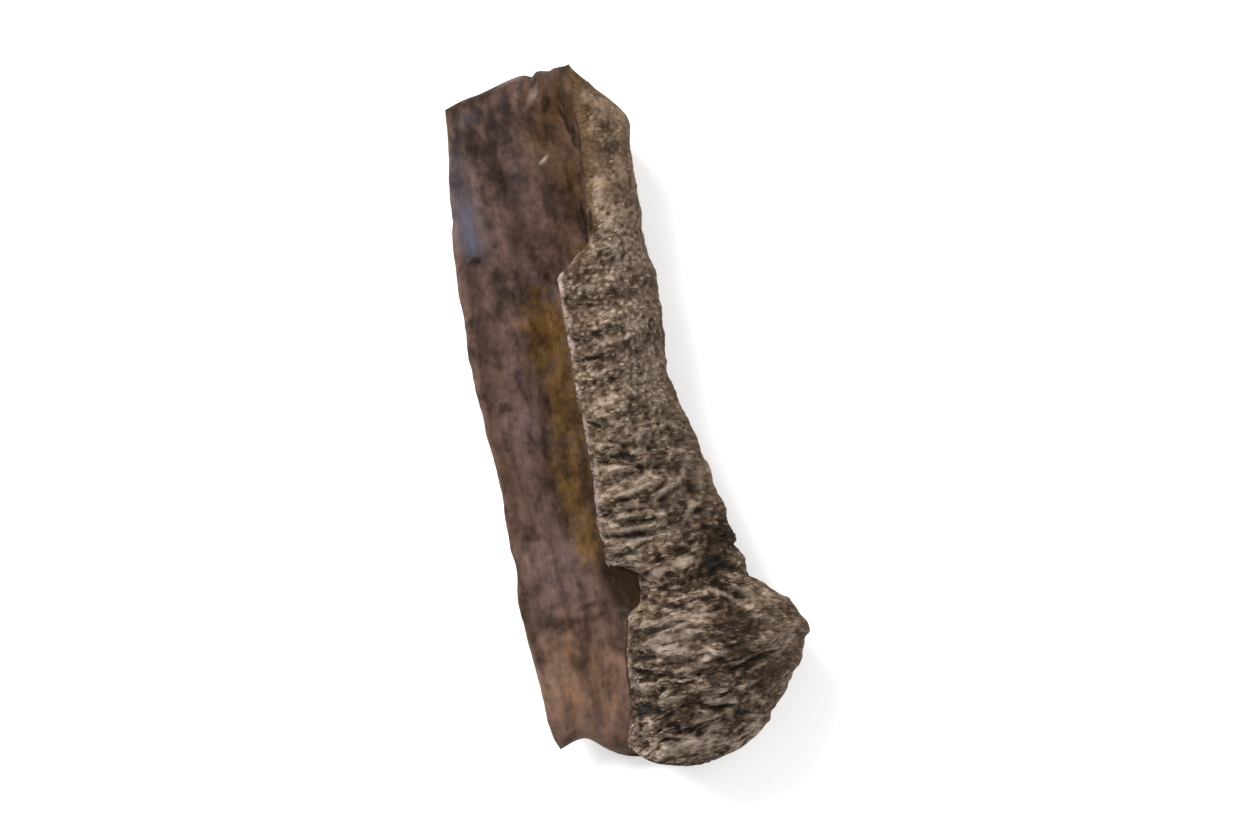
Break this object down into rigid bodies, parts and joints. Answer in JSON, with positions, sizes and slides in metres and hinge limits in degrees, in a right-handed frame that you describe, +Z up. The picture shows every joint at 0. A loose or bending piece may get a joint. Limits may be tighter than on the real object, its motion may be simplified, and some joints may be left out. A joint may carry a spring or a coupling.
{
  "type": "agarwood piece",
  "caption": "Curled shard of dark resinous agarwood: a smooth scraped trough beside a rough folded-over lip that ends in a rounded heel.",
  "frame": {"origin": "under the middle of the shard, on the surface that it lies on", "axes": "+Y runs along the shard from its rounded heel to its top end, +X is towards the thick folded flank, +Z is up"},
  "size_m": [0.02, 0.0506, 0.0097],
  "materials": {
    "agarwood": "dark brown resinous wood, satin where it is scraped, dull and fibrous on the rough skin"
  },
  "bodies": {
    "root": {"agarwood_shard": "agarwood"}
  },
  "joints": []
}
